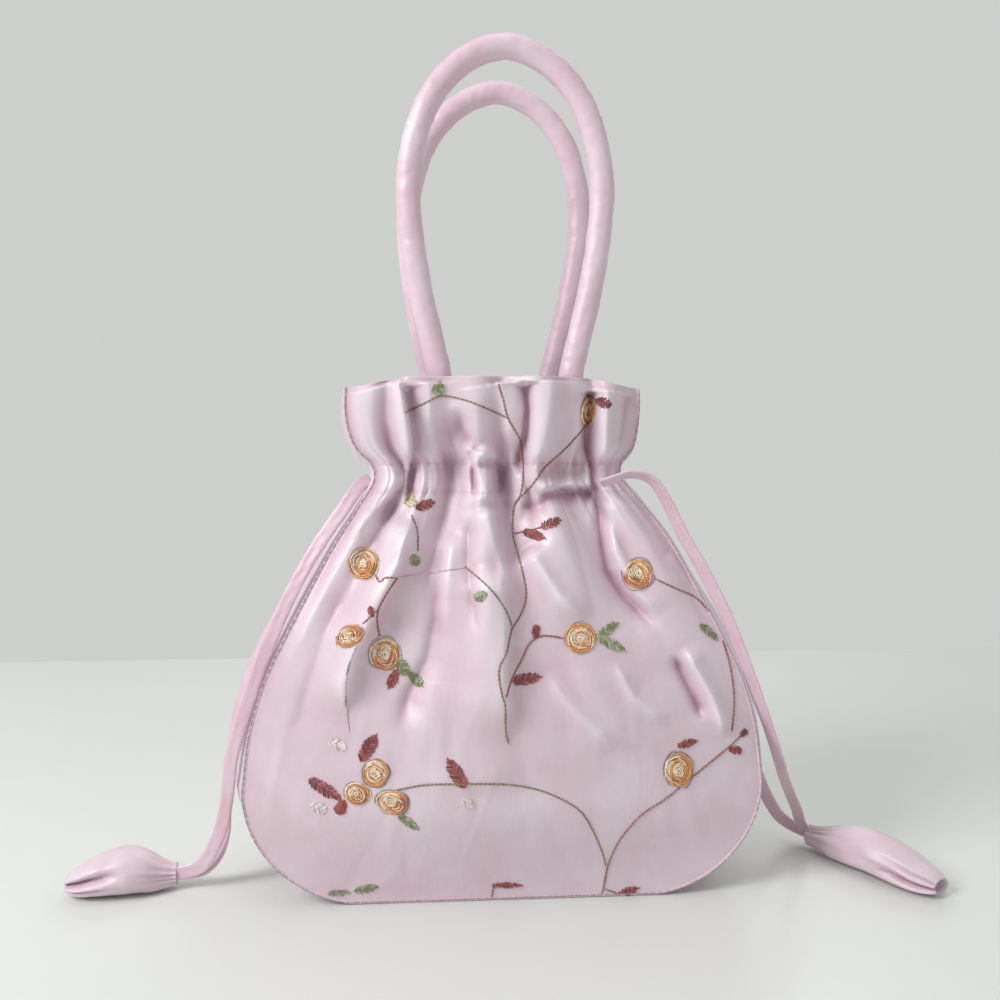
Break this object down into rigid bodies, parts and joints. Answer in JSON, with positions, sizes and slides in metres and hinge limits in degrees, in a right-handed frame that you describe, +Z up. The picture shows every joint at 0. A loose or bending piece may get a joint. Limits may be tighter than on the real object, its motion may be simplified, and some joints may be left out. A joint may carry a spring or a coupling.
{
  "type": "drawstring handbag",
  "caption": "Gathered satin drawstring handbag with a frilled mouth, flat base, padded hoop handles and side drawstrings that end in folded satin pods.",
  "frame": {"origin": "middle of the flat base, on the surface that the bag stands on", "axes": "+Z up, -Y towards the embroidered front, +X to the right seen from the front"},
  "size_m": [0.3618, 0.0865, 0.346],
  "materials": {
    "satin_front": "satin, pale pink, fine slub",
    "satin_back": "satin, pale pink, fine slub",
    "satin_gusset": "satin, pale pink, fine slub",
    "satin_handle": "satin, pale pink, fine slub",
    "satin_strand": "satin, pale pink, fine slub",
    "satin_end": "satin, pale pink, fine slub"
  },
  "bodies": {
    "root": {"front_panel": "satin_front", "back_panel": "satin_back", "gusset": "satin_gusset", "handle_front": "satin_handle", "handle_back": "satin_handle", "drawstring_left_front": "satin_strand", "drawstring_left_back": "satin_strand", "drawstring_right_front": "satin_strand", "drawstring_right_back": "satin_strand", "pod_left": "satin_end", "pod_right": "satin_end"}
  },
  "joints": []
}
